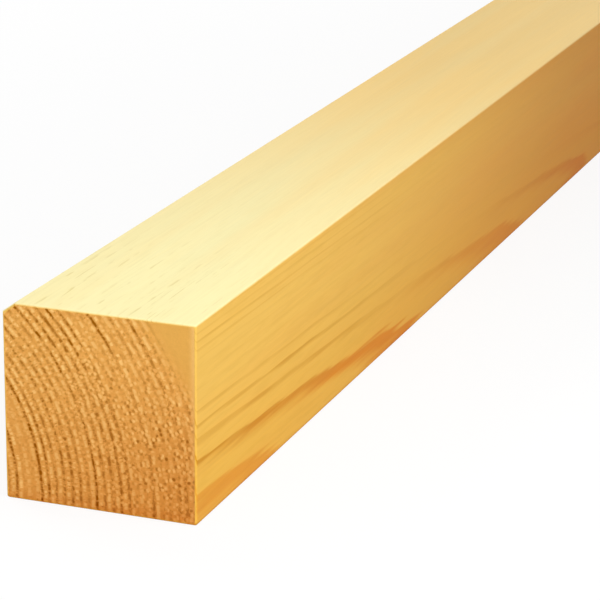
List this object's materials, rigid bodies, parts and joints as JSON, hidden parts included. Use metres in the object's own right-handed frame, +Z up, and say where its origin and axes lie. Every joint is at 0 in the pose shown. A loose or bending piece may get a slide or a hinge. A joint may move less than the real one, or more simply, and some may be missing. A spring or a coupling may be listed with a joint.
{
  "type": "planed square timber batten",
  "caption": "Planed softwood batten of square section with eased arrises, a bevelled top arris and square-sawn ends, for framing and general carpentry.",
  "frame": {"origin": "middle of the underside, on the level floor that the batten lies on", "axes": "+X along the length and the grain, +Y across towards the bevelled side, +Z up"},
  "size_m": [1.2, 0.045, 0.045],
  "materials": {
    "planed_softwood": "matte"
  },
  "bodies": {
    "root": {"batten": "planed_softwood"}
  },
  "joints": []
}
